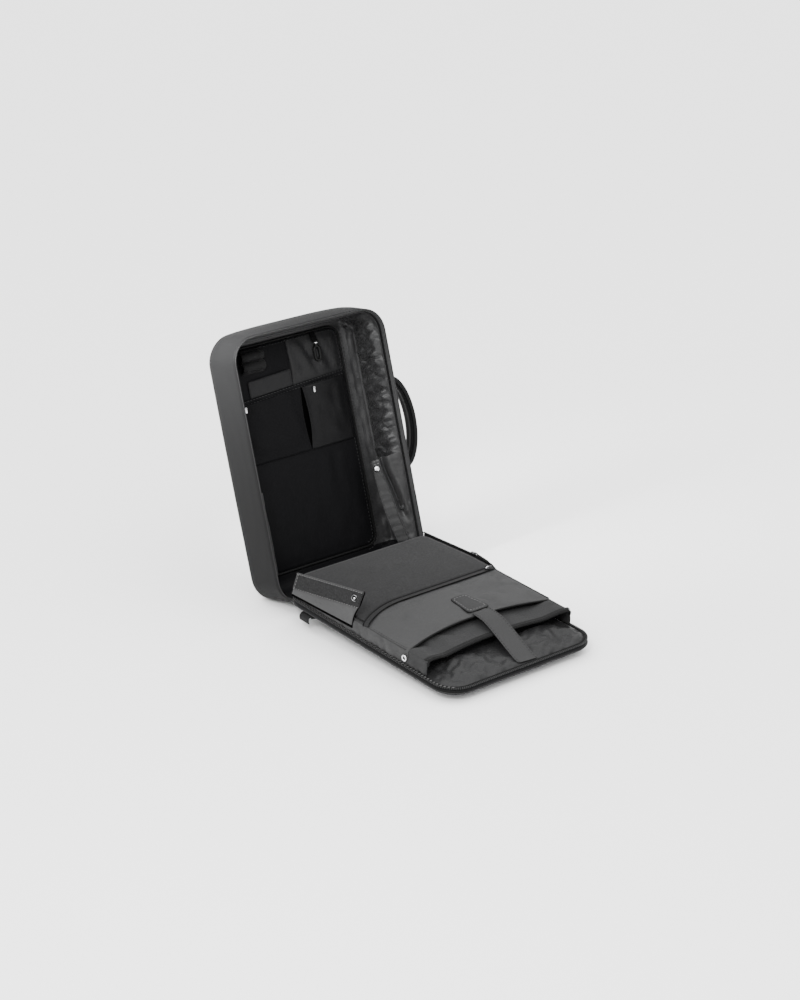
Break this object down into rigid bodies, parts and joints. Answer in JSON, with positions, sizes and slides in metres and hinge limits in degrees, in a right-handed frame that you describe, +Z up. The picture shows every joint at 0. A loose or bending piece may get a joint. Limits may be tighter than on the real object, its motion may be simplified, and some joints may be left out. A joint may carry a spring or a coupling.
{
  "type": "open backpack",
  "caption": "Anti-theft backpack standing open like a case: a deep leaning shell with an organizer, and a flat lid in front carrying a padded laptop sleeve.",
  "frame": {"origin": "on the ground, under the middle of the part's box", "axes": "+Z up; +X along the hinge, towards the carrying handle; the lid reaches to -Y and the shell's depth to +Y"},
  "size_m": [0.359, 0.6088, 0.4308],
  "materials": {
    "coated_cloth": "matt coated outer fabric",
    "lining_cloth": "thin shiny nylon lining",
    "dark_cloth": "dark woven cloth",
    "pocket_cloth": "padded woven cloth",
    "felt_cloth": "speckled brushed felt",
    "webbing": "woven band",
    "zip_tape": "woven zip tape with moulded teeth",
    "black_plastic": "moulded, slightly shiny",
    "steel": "bright pressed metal"
  },
  "bodies": {
    "root": {"shell_body": "coated_cloth", "lid_panel": "coated_cloth", "hinge_web": "coated_cloth", "shoulder_strap_left": "coated_cloth", "shoulder_strap_right": "coated_cloth", "shell_lining": "lining_cloth", "lid_lining": "lining_cloth", "shell_wing_left": "lining_cloth", "shell_wing_right": "lining_cloth", "lid_wing": "lining_cloth", "organizer_panel": "dark_cloth", "pocket_left": "dark_cloth", "pocket_right": "dark_cloth", "card_pocket": "dark_cloth", "handle_grip": "dark_cloth", "handle_anchor_lower": "dark_cloth", "handle_anchor_upper": "dark_cloth", "laptop_sleeve": "pocket_cloth", "tablet_pocket": "pocket_cloth", "felt_panel": "felt_cloth", "lid_wing_strip": "felt_cloth", "closing_strap": "webbing", "strap_tab": "webbing", "pen_band": "webbing", "shell_wing_strip": "webbing", "strap_webbing_left": "webbing", "strap_webbing_right": "webbing", "webbing_end_left": "webbing", "webbing_end_right": "webbing", "shell_zip": "zip_tape", "lid_zip": "zip_tape", "pocket_zip": "zip_tape", "zip_tail": "zip_tape", "organizer_piping": "zip_tape", "pocket_binding": "zip_tape", "key_strap": "zip_tape", "key_hook": "black_plastic", "rim_pull": "black_plastic", "pocket_pull_left": "steel", "pocket_pull_right": "steel", "shell_wing_stud": "steel", "lid_wing_snap": "steel", "ring_snap": "steel", "rim_slider": "steel", "pocket_zip_slider": "steel"}
  },
  "joints": []
}
